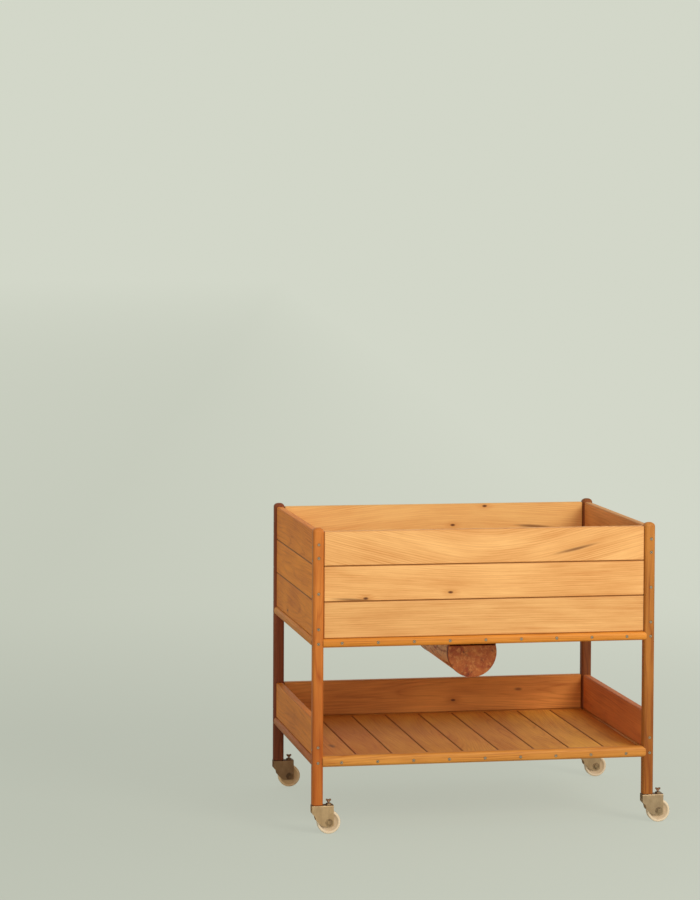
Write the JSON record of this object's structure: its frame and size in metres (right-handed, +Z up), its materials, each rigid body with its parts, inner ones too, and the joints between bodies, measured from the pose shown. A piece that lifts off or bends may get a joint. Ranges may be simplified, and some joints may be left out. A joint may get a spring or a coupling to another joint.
{
  "type": "rolling planter",
  "caption": "Wooden planting box on posts, with a low-sided slatted shelf, a half-round copper drip trough under its floor, and swivel casters with winged brake screws.",
  "frame": {"origin": "on the floor under the centre of the outline, with all wheels trailing to the right", "axes": "+X to the right along the long side, +Y to the back away from the open shelf front, +Z up"},
  "size_m": [1.0134, 0.6846, 0.8382],
  "materials": {
    "light_robinia": "oiled, light honey, fine straight grain",
    "post_robinia": "oiled, deeper orange brown",
    "shelf_robinia": "oiled, reddish brown, knotty",
    "copper": "copper sheet, dull, brown patina",
    "zinc_steel": "zinc plated, dull, slightly yellow",
    "nylon": "cream nylon, satin"
  },
  "bodies": {
    "planter": {"post_front_left": "post_robinia", "post_front_right": "post_robinia", "post_back_left": "post_robinia", "post_back_right": "post_robinia", "upper_rail_front": "light_robinia", "upper_rail_back": "light_robinia", "upper_rail_left": "light_robinia", "upper_rail_right": "light_robinia", "lower_rail_front": "light_robinia", "lower_rail_back": "shelf_robinia", "lower_rail_left": "shelf_robinia", "lower_rail_right": "shelf_robinia", "box_plank_front_1": "light_robinia", "box_plank_front_2": "light_robinia", "box_plank_front_3": "light_robinia", "box_plank_back_1": "light_robinia", "box_plank_back_2": "light_robinia", "box_plank_back_3": "light_robinia", "box_plank_left_1": "light_robinia", "box_plank_left_2": "light_robinia", "box_plank_left_3": "light_robinia", "box_plank_right_1": "light_robinia", "box_plank_right_2": "light_robinia", "box_plank_right_3": "light_robinia", "shelf_board_back": "shelf_robinia", "shelf_board_left": "shelf_robinia", "shelf_board_right": "shelf_robinia", "shelf_slat_1": "shelf_robinia", "shelf_slat_2": "shelf_robinia", "shelf_slat_3": "shelf_robinia", "shelf_slat_4": "shelf_robinia", "shelf_slat_5": "shelf_robinia", "shelf_slat_6": "shelf_robinia", "shelf_slat_7": "shelf_robinia", "shelf_slat_8": "shelf_robinia", "shelf_slat_9": "shelf_robinia", "box_floor": "light_robinia", "trough_shell": "copper", "trough_cap_front": "copper", "trough_cap_back": "copper", "swivel_pin_front_left": "zinc_steel", "swivel_pin_front_right": "zinc_steel", "swivel_pin_back_left": "zinc_steel", "swivel_pin_back_right": "zinc_steel"},
    "caster_front_left": {"fork_front_left": "zinc_steel", "axle_bolt_front_left": "zinc_steel"},
    "wheel_front_left": {"wheel_front_left": "nylon"},
    "brake_front_left": {"brake_screw_front_left": "zinc_steel"},
    "caster_front_right": {"fork_front_right": "zinc_steel", "axle_bolt_front_right": "zinc_steel"},
    "wheel_front_right": {"wheel_front_right": "nylon"},
    "brake_front_right": {"brake_screw_front_right": "zinc_steel"},
    "caster_back_left": {"fork_back_left": "zinc_steel", "axle_bolt_back_left": "zinc_steel"},
    "wheel_back_left": {"wheel_back_left": "nylon"},
    "brake_back_left": {"brake_screw_back_left": "zinc_steel"},
    "caster_back_right": {"fork_back_right": "zinc_steel", "axle_bolt_back_right": "zinc_steel"},
    "wheel_back_right": {"wheel_back_right": "nylon"},
    "brake_back_right": {"brake_screw_back_right": "zinc_steel"}
  },
  "joints": [
    {"name": "swivel_front_left", "type": "hinge", "parent": "planter", "child": "caster_front_left", "pos_m": [-0.49125, -0.325, 0.079], "axis": [0, 0, 1], "continuous": true},
    {"name": "wheel_spin_front_left", "type": "hinge", "parent": "caster_front_left", "child": "wheel_front_left", "pos_m": [-0.45925, -0.325, 0.032], "axis": [0, 1, 0], "continuous": true},
    {"name": "brake_front_left", "type": "slide", "parent": "caster_front_left", "child": "brake_front_left", "axis": [0, 0, 1], "range_m": [-0.0025, 0]},
    {"name": "swivel_front_right", "type": "hinge", "parent": "planter", "child": "caster_front_right", "pos_m": [0.44275, -0.325, 0.079], "axis": [0, 0, 1], "continuous": true},
    {"name": "wheel_spin_front_right", "type": "hinge", "parent": "caster_front_right", "child": "wheel_front_right", "pos_m": [0.47475, -0.325, 0.032], "axis": [0, 1, 0], "continuous": true},
    {"name": "brake_front_right", "type": "slide", "parent": "caster_front_right", "child": "brake_front_right", "axis": [0, 0, 1], "range_m": [-0.0025, 0]},
    {"name": "swivel_back_left", "type": "hinge", "parent": "planter", "child": "caster_back_left", "pos_m": [-0.49125, 0.325, 0.079], "axis": [0, 0, 1], "continuous": true},
    {"name": "wheel_spin_back_left", "type": "hinge", "parent": "caster_back_left", "child": "wheel_back_left", "pos_m": [-0.45925, 0.325, 0.032], "axis": [0, 1, 0], "continuous": true},
    {"name": "brake_back_left", "type": "slide", "parent": "caster_back_left", "child": "brake_back_left", "axis": [0, 0, 1], "range_m": [-0.0025, 0]},
    {"name": "swivel_back_right", "type": "hinge", "parent": "planter", "child": "caster_back_right", "pos_m": [0.44275, 0.325, 0.079], "axis": [0, 0, 1], "continuous": true},
    {"name": "wheel_spin_back_right", "type": "hinge", "parent": "caster_back_right", "child": "wheel_back_right", "pos_m": [0.47475, 0.325, 0.032], "axis": [0, 1, 0], "continuous": true},
    {"name": "brake_back_right", "type": "slide", "parent": "caster_back_right", "child": "brake_back_right", "axis": [0, 0, 1], "range_m": [-0.0025, 0]}
  ]
}
